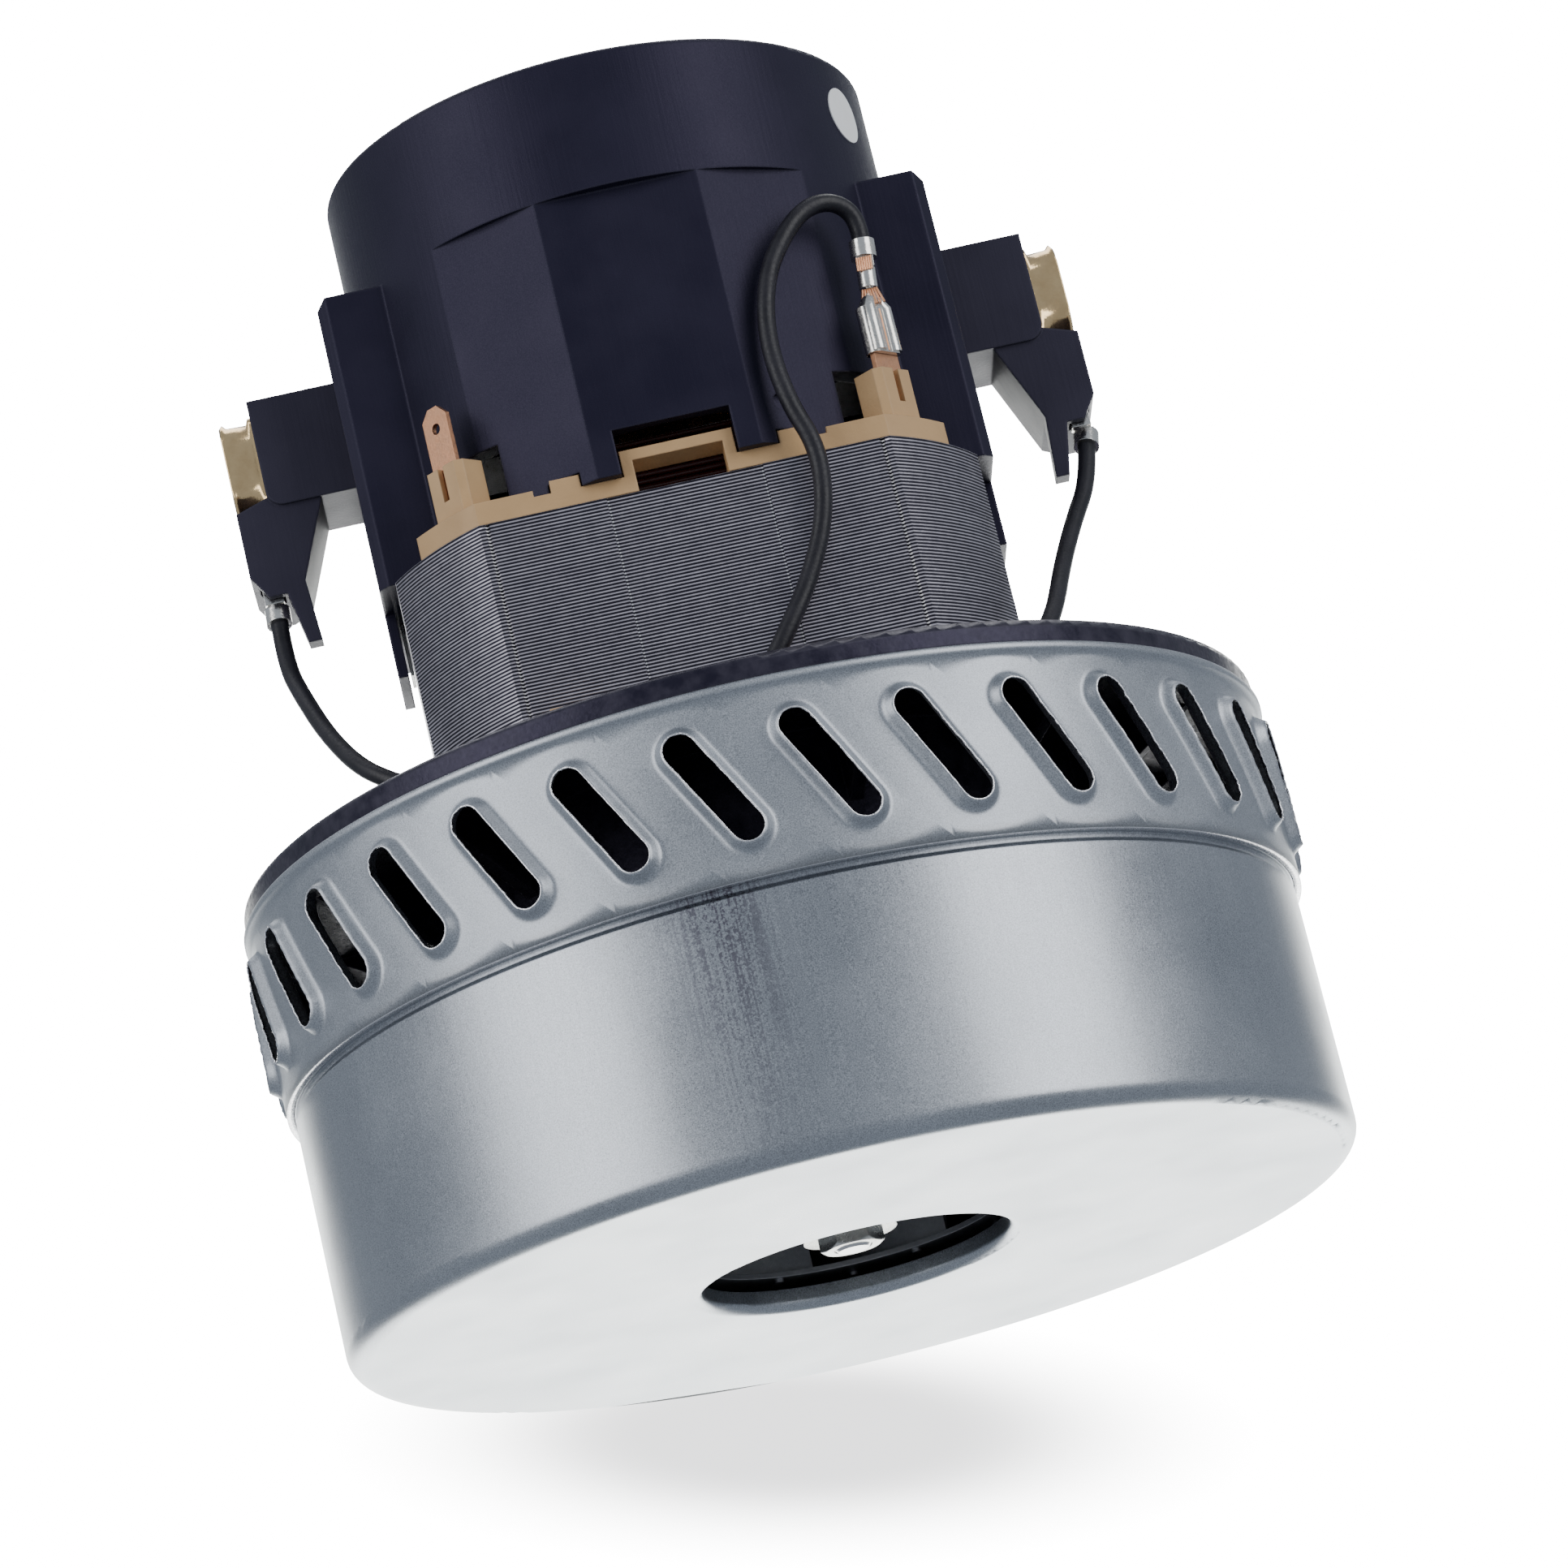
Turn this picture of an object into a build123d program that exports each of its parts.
"""Two-stage vacuum cleaner motor unit, in millimetres.

The motor stands on the flat inlet face of its fan shell. Z runs up the shaft, X runs along
the two carbon brushes, and the front, where the bare lead loops over the housing, faces -Y.
"""
from build123d import *
import math
import os

os.makedirs("parts", exist_ok=True)

# Turns, in degrees
full_turn = 360.0
half_turn = full_turn / 2
quarter_turn = full_turn / 4

# How far every cut runs past the surface that it opens
overrun = 2.0

# Fan shell: a drawn steel cup with a rolled inlet hole
case_radius = 72.0
shell_wall = 1.0
shell_height = 41.0
shell_corner = 2.8
inlet_radius = 22.0
inlet_lip = 3.2
inlet_round = 1.4
shell_groove_height = 1.5
shell_groove_depth = 0.6
shell_groove_slope = 0.7

# Exhaust ring: a steel band pushed over the shell, with punched slanting slots
ring_overlap = 3.6
ring_height = 26.5
ring_wall = 1.0
ring_fit = 0.1
bead_rise = 0.8
bead_height = 1.5
bead_round = 0.5
slot_count = 30
slot_run = 13.5
slot_width = 4.0
slot_lean = 28.0
slot_middle_rise = 12.8
collar_width = 7.2
collar_rise = 1.8
collar_root = 0.45
collar_draft = 28.0

# Base plate: the black moulding that closes the exhaust ring and carries the motor
plate_overhang = 0.2
plate_wall = 3.4
plate_round = 1.2
spigot_depth = 2.4
spigot_wall = 2.6
spigot_fit = 0.2
bowl_radius = 44.0
bowl_wall = 2.6
bowl_floor_wall = 3.0
bowl_floor_gap = 2.9
bowl_corner = 3.0
seat_floor_rise = 2.4
seat_wall = 4.0
seat_fit = 0.02
shaft_hole_radius = 7.4
column_radius = 4.0
rib_count = 12
rib_wall = 2.0
rib_edge_clearance = 4.7
rib_drop = 12.0

# Ball bearings, the same at both ends of the shaft
bearing_radius = 11.0
bearing_width = 7.0
bearing_bore_fit = 0.01
inner_race_radius = 5.5
outer_race_bore = 9.2
cushion_wall = 1.5
ball_radius = 1.65
ball_pitch_radius = 7.5
ball_count = 7

# Shaft and the stack that its nut clamps
shaft_radius = 4.0
shaft_fit = 0.02
shaft_end_height = 2.3
shaft_end_reach = 0.8
shaft_chamfer = 0.5
thread_radius = 2.7
thread_chamfer = 0.5
thread_top = 6.6
nut_bottom = 2.6
nut_height = 1.9
nut_flats = 8.0
nut_sides = 6
nut_corner_angle = 30.0
washer_radius = 6.7
washer_height = 1.0
spacer_radius = 6.4

# Impellers: two pressed discs with riveted curved vanes between them
impeller_tip_clearance = 9.0
eye_height = 5.0
eye_radius = 21.9
disc_wall = 0.8
back_disc_wall = 1.0
vane_height = 7.2
vane_count = 7
vane_wall = 1.0
vane_inner_radius = 23.5
vane_tip_margin = 0.6
vane_sweep = 62.0
vane_bow_share = 0.075
rivet_radius = 0.7
rivet_height = 0.5
rivet_rows = 5

# Return guide between the stages, hung under the interstage plate
stage_gap = 1.5
guide_edge_clearance = 6.0
guide_wall = 1.0
guide_hub_clearance = 1.2
guide_vane_height = 6.0
guide_vane_count = 9
guide_vane_wall = 1.2
guide_vane_inner_radius = 21.0
guide_vane_sweep = -55.0
guide_vane_bow_share = 0.14
interstage_wall = 0.8
interstage_fit = 0.05
interstage_rim = 4.0
interstage_eye_radius = 19.5
interstage_gap = 1.4

# Felt seal round the spacer in the floor of the base plate
seal_wall = 2.0
seal_fit = 0.3
seal_lip = 4.0

# Stator: a stack of steel laminations with two poles, at -Y and +Y
stack_lift = 8.2
stack_height = 30.0
core_corner_reach = 4.8
core_width = 84.0
core_depth = 73.2
facet_half_width = 11.1
facet_recess = 0.35
edge_groove = 0.5
edge_groove_place = 28.0
bore_radius = 21.6
pole_length = 5.4
pole_shoe_wall = 2.8
pole_shoe_angle = 58.0
pole_half_width = 12.6
side_yoke_depth = 11.0
window_corner = 4.0

# Long screws that clamp housing, stator and base plate together
screw_side_inset = 3.5
screw_place_y = 14.5
screw_radius = 1.95
screw_fit = 0.2
screw_head_radius = 3.4
screw_head_height = 2.6
screw_cross_width = 0.9
screw_cross_depth = 1.3
screw_seat_wall = 7.0
screw_grip = 11.0
screw_well_clearance = 0.3

# Coil formers: tan mouldings over both ends of each pole
former_wall = 2.4
former_fit = 0.2
end_plate_gap = 0.6
saddle_clearance = 0.6
saddle_chamfer = 1.6
liner_fit = 0.1
liner_wall = 0.7
band_start = 20.8
band_wall = 3.3
band_depth = 6.5
lug_inner = 14.1
lug_outer = 18.3
lug_height = 4.2
lug_depth = 2.2
bracket_half_width = 8.0
bracket_height = 6.2
bracket_wall = 1.6
bracket_depth_share = 0.6
post_inset = 3.1
post_width = 7.4
post_depth = 4.6
post_height = 11.0
post_chamfer = 1.0
post_angle = 45.0
post_slit_width = 1.1
post_slit_depth = 5.0
lower_lug_width = 6.0
lower_lug_drop = 4.6
lower_lug_depth = 4.0
lower_lug_ear = 8.0

# Field coils: one wire wound in three flat spirals, one behind the other
wire_radius = 0.65
wire_pitch = 1.8
coil_layers = 5
coil_columns = 3
coil_liner_gap = 0.35
coil_seat_gap = 0.3
coil_end_gap = 1.1
coil_bend_radius = 3.2
coil_point_spacing = 0.5
coil_near_stretch = 12.0

# Terminal tabs
tab_width = 4.8
tab_wall = 0.8
tab_root = 4.5
tab_height = 9.2
tab_point = 1.5
tab_hole_radius = 0.8
tab_hole_drop = 3.2
tab_outset = 0.9
lower_tab_length = 8.5
front_tab_outset = 2.8
side_tab_outset = 2.4

# Push-on receptacles and their wire crimps
receptacle_width = 5.6
receptacle_length = 7.0
receptacle_wall = 0.5
receptacle_depth = 2.6
receptacle_lift = 2.6
neck_width = 2.4
neck_depth = 1.2
neck_length = 2.5
shoulder_width = 4.4
shoulder_depth = 1.9
crimp_radius = 1.35
crimp_length = 3.0
crimp_gap = 1.6
grip_radius = 1.85
grip_length = 2.6

# Upper housing: the black moulding over the stator
housing_radius = 40.0
housing_wall = 3.5
housing_top_rise = 24.2
housing_top_round = 1.0
facet_top_rise = 3.7
front_facet_distance = 38.25
side_facet_distance = 39.05
side_facet_angle = 29.5
tower_screw_wall = 5.5
tower_half_depth = 20.0
tower_top_rise = 4.0
tower_chamfer = 1.4
spider_gap = 0.6
spider_wall = 3.5
spider_slot_count = 6
spider_slot_radius = 26.0
spider_slot_width = 12.0
spider_slot_arc = 22.0
upper_seat_rise = 4.0
fan_chamber_radius = 37.0
grille_seat_radius = 38.2
grille_wall = 1.6
coil_window_half_width = 8.3
coil_window_height = 8.9
notch_width = 10.4
notch_height = 13.0
finger_clearance = 0.9
finger_wall = 1.5
finger_half_width = 7.5
finger_drop = 9.5
dimple_radius = 1.3
dimple_depth = 0.8
dimple_angle = 23.7
dimple_height = 8.6

# Steel clips between the fingers and the stator
clip_gap = 0.1
clip_wall = 0.5
clip_half_width = 3.0
clip_drop = 8.0

# Cooling fan and the grille above it
fan_radius = 35.0
fan_hub_radius = 9.5
fan_hub_gap = 1.4
fan_hub_height = 8.4
fan_blade_count = 9
fan_blade_chord = 11.0
fan_blade_wall = 1.4
fan_blade_pitch = 33.0
grille_hub_radius = 9.0
grille_ring_wall = 1.8
grille_ring_gap = 4.4
grille_bar_count = 8
grille_bar_wall = 2.2

# Armature and commutator
air_gap = 0.6
armature_overhang = 1.0
armature_slots = 12
armature_slot_inset = 5.4
armature_tooth = 2.17
armature_slot_mouth = 1.6
winding_fit = 0.2
winding_head_height = 10.0
winding_head_inset = 1.6
winding_head_bore = 8.0
winding_head_round = 3.0
commutator_gap = 4.5
commutator_length = 24.4
commutator_radius = 11.5
commutator_hub_radius = 8.0
commutator_bars_count = 24
commutator_slit = 0.5
riser_height = 2.4
riser_reach = 1.6

# Brush gear
brush_line_rise = 12.6
holder_width = 15.4
holder_height = 16.4
holder_shaft_gap = 6.5
holder_overhang = 12.8
holder_round = 2.4
holder_fit = 0.15
tube_width = 9.5
tube_height = 12.4
tube_wall = 0.8
tube_shaft_gap = 2.5
tube_overhang = 4.8
tube_fit = 0.1
tube_flange_wall = 1.0
tube_flange_rise = 0.9
tube_flange_width = 7.0
brush_width = 7.7
brush_height = 10.6
brush_length = 26.0
brush_gap = 0.3
spring_radius = 3.2
spring_wall = 0.9
bracket_top_inset = 7.7
bracket_knee_inset = 2.9
bracket_knee_drop = 20.0
prong_inner_inset = 3.5
prong_outer_inset = 1.5
prong_drop = 29.3
prong_depth = 3.2
pocket_shoulder_drop = 18.0
pocket_drop = 21.4
pocket_low_inset = 2.2
bracket_half_depth = 7.2
terminal_inset = 2.7
terminal_y = -4.6
terminal_clearance = 0.3
terminal_width = 2.8
terminal_depth = 2.2
terminal_top_drop = 10.1
terminal_end_drop = 25.0
terminal_step = 0.6

# Blank round sticker on the housing
sticker_radius = 4.2
sticker_wall = 0.15
sticker_angle = 63.0
sticker_drop = 9.0

# Levels and sizes that follow from the values above: the fan case
shell_inner = case_radius - shell_wall
impeller_radius = shell_inner - impeller_tip_clearance
guide_radius = shell_inner - guide_edge_clearance
bore_in_hub = shaft_radius + shaft_fit
washer_bottom = nut_bottom + nut_height
washer_top = washer_bottom + washer_height
stage_height = disc_wall + vane_height + back_disc_wall
first_stage_top = eye_height + stage_height
guide_bottom = first_stage_top + stage_gap
guide_top = guide_bottom + guide_wall + guide_vane_height
second_eye_height = guide_top + interstage_wall + interstage_gap
second_stage_top = second_eye_height + stage_height
ring_bottom = shell_height - ring_overlap
ring_inner = case_radius + ring_fit
ring_outer = ring_inner + ring_wall
ring_top = ring_bottom + ring_height
slot_middle = ring_bottom + slot_middle_rise
shell_groove_bottom = ring_bottom - shell_groove_height
shell_groove_radius = case_radius - shell_groove_depth
plate_radius = ring_outer + plate_overhang
plate_top = ring_top + plate_wall
spigot_outer = ring_inner - spigot_fit
spigot_inner = spigot_outer - spigot_wall
rib_outer = spigot_inner - rib_edge_clearance
bowl_outer = bowl_radius + bowl_wall
bowl_floor_underside = second_stage_top + bowl_floor_gap
bowl_floor = bowl_floor_underside + bowl_floor_wall
seat_floor = bowl_floor + seat_floor_rise
seat_radius = bearing_radius + seat_fit
cushion_seat_radius = seat_radius + cushion_wall + seat_fit

# The stator, its formers and the armature
stack_bottom = plate_top + stack_lift
stack_top = stack_bottom + stack_height
core_corner_radius = core_width / 2 + core_corner_reach
window_half_width = core_width / 2 - side_yoke_depth
window_half_depth = bore_radius + pole_length
shoe_radius = bore_radius + pole_shoe_wall
screw_place_x = core_width / 2 - screw_side_inset
screw_places = [(x, y) for x in (-screw_place_x, screw_place_x) for y in (-screw_place_y, screw_place_y)]
screw_seat = stack_top + screw_seat_wall
former_bottom = stack_bottom - former_wall
former_limit = window_half_depth + end_plate_gap
saddle_start = bore_radius + saddle_clearance
liner_outer = pole_half_width + liner_fit + liner_wall
band_inner_radius = core_corner_radius - band_depth
lug_middle = (lug_inner + lug_outer) / 2
bracket_depth = (core_depth / 2 - former_limit) * bracket_depth_share
post_radius = core_corner_radius - post_inset
coil_rise = stack_height / 2 + former_wall + coil_seat_gap + wire_radius
coil_inner_half_width = liner_outer + coil_liner_gap + wire_radius
coil_outer_depth = window_half_depth - coil_end_gap
lower_tab_level = former_bottom - lower_lug_drop / 2
front_tab_depth = core_depth / 2 + front_tab_outset
side_tab_depth = former_limit + side_tab_outset
armature_radius = bore_radius - air_gap
armature_bottom = stack_bottom - armature_overhang
armature_top = stack_top + armature_overhang
armature_slot_place = armature_radius - armature_slot_inset
armature_slot_pitch = math.tau * armature_slot_place / armature_slots
armature_slot_radius = (armature_slot_pitch - armature_tooth) / 2
winding_head_radius = armature_radius - winding_head_inset
commutator_bottom = armature_top + winding_head_height + commutator_gap
commutator_top = commutator_bottom + commutator_length

# The upper housing with its fan
housing_inner = housing_radius - housing_wall
spider_bottom = commutator_top + spider_gap
spider_top = spider_bottom + spider_wall
upper_seat_floor = spider_bottom + upper_seat_rise
facet_top = spider_bottom + facet_top_rise
tower_top = spider_bottom + tower_top_rise
tower_inner = screw_place_x - tower_screw_wall
finger_inner = core_width / 2 + finger_clearance
tower_outer = finger_inner + finger_wall
housing_top = spider_bottom + housing_top_rise
grille_bottom = housing_top - grille_wall
sticker_height = housing_top - sticker_drop
fan_hub_bottom = upper_seat_floor + bearing_width + fan_hub_gap
shaft_top = fan_hub_bottom + fan_hub_height + shaft_end_reach

# The brush gear
brush_line = commutator_bottom + brush_line_rise
holder_inner = commutator_radius + holder_shaft_gap
holder_outer = tower_outer + holder_overhang
holder_bottom = brush_line - holder_height / 2
tube_inner = commutator_radius + tube_shaft_gap
tube_outer = holder_outer + tube_overhang
brush_face = commutator_radius + brush_gap
brush_back = brush_face + brush_length
brush_corner = math.sqrt(brush_face**2 - (brush_width / 2) ** 2)
bracket_top_inner = holder_outer - bracket_top_inset
bracket_knee_x = holder_outer - bracket_knee_inset
bracket_knee_z = brush_line - bracket_knee_drop
prong_inner = holder_outer - prong_inner_inset
prong_outer = holder_outer - prong_outer_inset
prong_bottom = brush_line - prong_drop
pocket_shoulder = brush_line - pocket_shoulder_drop
pocket_bottom = brush_line - pocket_drop
pocket_low_x = tube_outer - pocket_low_inset
terminal_x = tube_outer - terminal_inset
terminal_top = brush_line - terminal_top_drop
terminal_end = brush_line - terminal_end_drop

# Leads: routes of their points, from the upper terminal down to the lower one
lead_radius = 1.3
lead_bend_share = 0.45
front_lead_route = [
    (32.4, -31.6, 136.4),
    (32.7, -31.6, 140.0),
    (29.9, -33.4, 142.6),
    (25.7, -35.1, 142.0),
    (21.6, -36.9, 138.0),
    (17.6, -38.2, 131.8),
    (15.5, -39.2, 122.4),
    (16.3, -39.8, 112.4),
    (18.9, -40.0, 104.6),
    (17.6, -39.9, 95.0),
    (13.2, -39.9, 86.2),
    (8.6, -40.9, 79.6),
    (5.2, -40.6, 75.2),
    (0.4, -front_tab_depth, lower_tab_level),
    (-5.8, -front_tab_depth, lower_tab_level),
]
left_lead_route = [
    (-terminal_x, terminal_y, terminal_end),
    (-59.6, -6.6, 101.6),
    (-58.0, -12.0, 94.4),
    (-55.8, -18.0, 86.6),
    (-52.6, -24.0, 79.4),
    (-48.6, -27.8, 75.0),
    (-42.0, -side_tab_depth, lower_tab_level),
    (-33.6, -side_tab_depth, lower_tab_level),
]
right_lead_route = [
    (terminal_x, terminal_y, terminal_end),
    (57.9, -7.4, 102.6),
    (54.0, -12.0, 95.8),
    (50.2, -17.2, 88.0),
    (47.2, -23.6, 80.4),
    (44.4, -27.6, 75.6),
    (39.8, -side_tab_depth, lower_tab_level),
    (33.6, -side_tab_depth, lower_tab_level),
]


def keep(piece, label):
    """Name a finished piece and write it."""
    piece.part.label = label
    export_step(piece.part, f"parts/{label}.step")


def radial_plane(azimuth, radius, height):
    """A plane that faces straight out from Z: azimuth 0 faces the front, x runs round, y up."""
    angle = math.radians(azimuth)
    outward = Vector(math.sin(angle), -math.cos(angle), 0)
    around = Vector(math.cos(angle), math.sin(angle), 0)
    return Plane(origin=outward * radius + Vector(0, 0, height), x_dir=around, z_dir=outward)


def tube_between(outer, inner, bottom, top):
    """A plain tube about the shaft."""
    with BuildPart() as tube:
        with BuildSketch(Plane.XY.offset(bottom)):
            Circle(outer)
            Circle(inner, mode=Mode.SUBTRACT)
        extrude(amount=top - bottom)
    return tube


# Fan shell
with BuildPart() as fan_shell:
    with BuildSketch(Plane.XZ) as shell_section:
        with BuildLine():
            Polyline(
                (inlet_radius, inlet_lip),
                (inlet_radius, 0),
                (case_radius, 0),
                (case_radius, shell_groove_bottom),
                (shell_groove_radius, shell_groove_bottom + shell_groove_slope),
                (shell_groove_radius, ring_bottom),
                (case_radius, ring_bottom),
                (case_radius, shell_height),
                (shell_inner, shell_height),
                (shell_inner, ring_bottom + shell_wall / 2),
                (shell_groove_radius - shell_wall, ring_bottom + shell_wall / 2),
                (shell_groove_radius - shell_wall, shell_groove_bottom + shell_groove_slope - shell_wall / 2),
                (shell_inner, shell_groove_bottom - shell_wall / 2),
                (shell_inner, shell_wall),
                (inlet_radius + shell_wall, shell_wall),
                (inlet_radius + shell_wall, inlet_lip),
                close=True,
            )
        make_face()
        outer_corner = shell_section.vertices().sort_by_distance((case_radius, 0, 0))[0]
        fillet(outer_corner, shell_corner)
        inner_corner = shell_section.vertices().sort_by_distance((shell_inner, shell_wall, 0))[0]
        fillet(inner_corner, shell_corner - shell_wall)
        inlet_corner = shell_section.vertices().sort_by_distance((inlet_radius, 0, 0))[0]
        fillet(inlet_corner, inlet_round)
    revolve(axis=Axis.Z)
keep(fan_shell, "fan_shell")


# Exhaust ring
slot_pitch = full_turn / slot_count
slot_places = [(n + 1 / 2) * slot_pitch for n in range(slot_count)]
collar_planes = [radial_plane(place, ring_outer - collar_root, slot_middle) for place in slot_places]
with BuildPart() as exhaust_ring:
    with BuildSketch(Plane.XZ) as ring_section:
        with BuildLine():
            Polyline(
                (ring_inner, ring_bottom),
                (ring_outer, ring_bottom),
                (ring_outer, ring_top - bead_height),
                (ring_outer + bead_rise, ring_top - bead_height),
                (ring_outer + bead_rise, ring_top),
                (ring_inner, ring_top),
                close=True,
            )
        make_face()
        bead_corners = ring_section.vertices().group_by(Axis.X)[-1]
        fillet(bead_corners, bead_round)
    revolve(axis=Axis.Z)
    with BuildSketch(*collar_planes):
        SlotCenterToCenter(slot_run, collar_width, rotation=quarter_turn + slot_lean)
    extrude(amount=collar_root + collar_rise, taper=collar_draft)
    with BuildSketch(*collar_planes):
        SlotCenterToCenter(slot_run, slot_width, rotation=quarter_turn + slot_lean)
    extrude(amount=collar_rise + overrun, both=True, mode=Mode.SUBTRACT)
keep(exhaust_ring, "exhaust_ring")


# Base plate
with BuildPart() as base_plate:
    with BuildSketch(Plane.XZ) as plate_section:
        with BuildLine():
            Polyline(
                (shaft_hole_radius, bowl_floor_underside),
                (bowl_outer, bowl_floor_underside),
                (bowl_outer, ring_top),
                (spigot_inner, ring_top),
                (spigot_inner, ring_top - spigot_depth),
                (spigot_outer, ring_top - spigot_depth),
                (spigot_outer, ring_top),
                (plate_radius, ring_top),
                (plate_radius, plate_top),
                (bowl_radius, plate_top),
                (bowl_radius, bowl_floor),
                (seat_radius + seat_wall, bowl_floor),
                (seat_radius + seat_wall, seat_floor + bearing_width),
                (seat_radius, seat_floor + bearing_width),
                (seat_radius, seat_floor),
                (shaft_hole_radius, seat_floor),
                close=True,
            )
        make_face()
        rim_corner = plate_section.vertices().sort_by_distance((plate_radius, plate_top, 0))[0]
        fillet(rim_corner, plate_round)
        floor_corner = plate_section.vertices().sort_by_distance((bowl_outer, bowl_floor_underside, 0))[0]
        fillet(floor_corner, bowl_corner)
    revolve(axis=Axis.Z)
    with BuildSketch(Plane.XY.offset(bowl_floor)):
        with Locations(*screw_places):
            Circle(column_radius)
    extrude(amount=stack_bottom - bowl_floor)
    with BuildSketch(Plane.XY.offset(stack_bottom)):
        with Locations(*screw_places):
            Circle(screw_radius + screw_fit / 2)
    extrude(amount=-(screw_grip + overrun), mode=Mode.SUBTRACT)
    for n in range(rib_count):
        rib_plane = Plane.XZ.rotated((0, 0, (n + 1 / 2) * full_turn / rib_count))
        with BuildSketch(rib_plane):
            with BuildLine():
                Polyline(
                    (bowl_outer - bowl_wall / 2, ring_top),
                    (rib_outer, ring_top),
                    (bowl_outer - bowl_wall / 2, ring_top - rib_drop),
                    close=True,
                )
            make_face()
        extrude(amount=rib_wall / 2, both=True)
    with BuildSketch(Plane.XY.offset(bowl_floor)):
        Circle(spacer_radius + seal_fit + seal_lip)
    extrude(amount=-seal_wall, mode=Mode.SUBTRACT)
keep(base_plate, "base_plate")


# Felt seal, laid in its recess in the floor of the base plate
seal_floor = bowl_floor - seal_wall
shaft_seal = tube_between(spacer_radius + seal_lip, spacer_radius + seal_fit, seal_floor, bowl_floor)
keep(shaft_seal, "shaft_seal")


# Ball bearings
def make_bearing(place, bottom):
    """One deep-groove bearing: outer race, inner race and its balls."""
    top = bottom + bearing_width
    outer = tube_between(bearing_radius, outer_race_bore, bottom, top)
    inner = tube_between(inner_race_radius, shaft_radius + bearing_bore_fit, bottom, top)
    with BuildPart() as balls:
        with Locations(Plane.XY.offset(bottom + bearing_width / 2)):
            with PolarLocations(ball_pitch_radius, ball_count):
                Sphere(ball_radius)
    keep(outer, f"{place}_bearing_outer_race")
    keep(inner, f"{place}_bearing_inner_race")
    keep(balls, f"{place}_bearing_balls")


make_bearing("lower", seat_floor)
make_bearing("upper", upper_seat_floor)

# Rubber cushion round the upper bearing
cushion_top = upper_seat_floor + bearing_width
cushion_bore = bearing_radius + seat_fit
bearing_cushion = tube_between(bearing_radius + cushion_wall, cushion_bore, upper_seat_floor, cushion_top)
keep(bearing_cushion, "bearing_cushion")


# Impellers
def blade_points(inner_radius, outer_radius, sweep, bow_share):
    """Start, middle and end of a curved vane's centre line, with its arc's centre and radius."""
    start = Vector(inner_radius, 0)
    end = Vector(outer_radius, 0).rotate(Axis.Z, sweep)
    chord = end - start
    bow = chord.length * bow_share
    side = chord.normalized().rotate(Axis.Z, quarter_turn)
    middle = (start + end) / 2 + side * bow
    arc_radius = ((chord.length / 2) ** 2 / bow + bow) / 2
    return start, middle, end, middle - side * arc_radius, arc_radius


def draw_blade(curve, thickness, turn):
    """One curved vane of even thickness, turned about the shaft, in the open sketch."""
    start, middle, end, centre, arc_radius = curve
    edges = []
    for half in (-thickness / 2, thickness / 2):
        share = (arc_radius + half) / arc_radius
        edges.append([(centre + (p - centre) * share).rotate(Axis.Z, turn) for p in (start, middle, end)])
    near, far = edges
    with BuildLine() as outline:
        ThreePointArc(*near)
        Line(near[2], far[2])
        ThreePointArc(far[2], far[1], far[0])
        Line(far[0], near[0])
    make_face(outline.edges())


def make_impeller(stage, bottom):
    """One impeller: front disc with the eye, vanes and back disc, held by peened rivets."""
    vane_bottom = bottom + disc_wall
    vane_top = vane_bottom + vane_height
    vane_outer_radius = impeller_radius - vane_tip_margin
    curve = blade_points(vane_inner_radius, vane_outer_radius, vane_sweep, vane_bow_share)
    start, middle, end, centre, arc_radius = curve
    first = (start - centre).get_signed_angle(end - centre)
    rivets = []
    for n in range(vane_count):
        for row in range(rivet_rows):
            along = first * (row + 1 / 2) / rivet_rows
            spot = centre + (start - centre).rotate(Axis.Z, -along)
            rivets.append(spot.rotate(Axis.Z, n * full_turn / vane_count))
    with BuildPart() as front_disc:
        with BuildSketch(Plane.XY.offset(bottom)):
            Circle(impeller_radius)
            Circle(eye_radius, mode=Mode.SUBTRACT)
        extrude(amount=disc_wall)
        with BuildSketch(Plane.XY.offset(bottom)):
            with Locations(*rivets):
                Circle(rivet_radius)
        extrude(amount=-rivet_height)
    with BuildPart() as vanes:
        with BuildSketch(Plane.XY.offset(vane_bottom)):
            for n in range(vane_count):
                draw_blade(curve, vane_wall, n * full_turn / vane_count)
        extrude(amount=vane_height)
    with BuildPart() as back_disc:
        with BuildSketch(Plane.XY.offset(vane_top)):
            Circle(impeller_radius)
            Circle(bore_in_hub, mode=Mode.SUBTRACT)
        extrude(amount=back_disc_wall)
        with BuildSketch(Plane.XY.offset(vane_top + back_disc_wall)):
            with Locations(*rivets):
                Circle(rivet_radius)
        extrude(amount=rivet_height)
    keep(front_disc, f"impeller_{stage}_front_disc")
    keep(vanes, f"impeller_{stage}_vanes")
    keep(back_disc, f"impeller_{stage}_back_disc")


make_impeller(1, eye_height)
make_impeller(2, second_eye_height)


# Return guide and the interstage plate that it hangs from
guide_curve = blade_points(guide_vane_inner_radius, guide_radius, guide_vane_sweep, guide_vane_bow_share)
with BuildPart() as return_guide:
    with BuildSketch(Plane.XY.offset(guide_bottom)):
        Circle(guide_radius)
        Circle(spacer_radius + guide_hub_clearance, mode=Mode.SUBTRACT)
    extrude(amount=guide_wall)
    with BuildSketch(Plane.XY.offset(guide_bottom + guide_wall)):
        for n in range(guide_vane_count):
            draw_blade(guide_curve, guide_vane_wall, n * full_turn / guide_vane_count)
    extrude(amount=guide_vane_height)
keep(return_guide, "return_guide")

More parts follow.
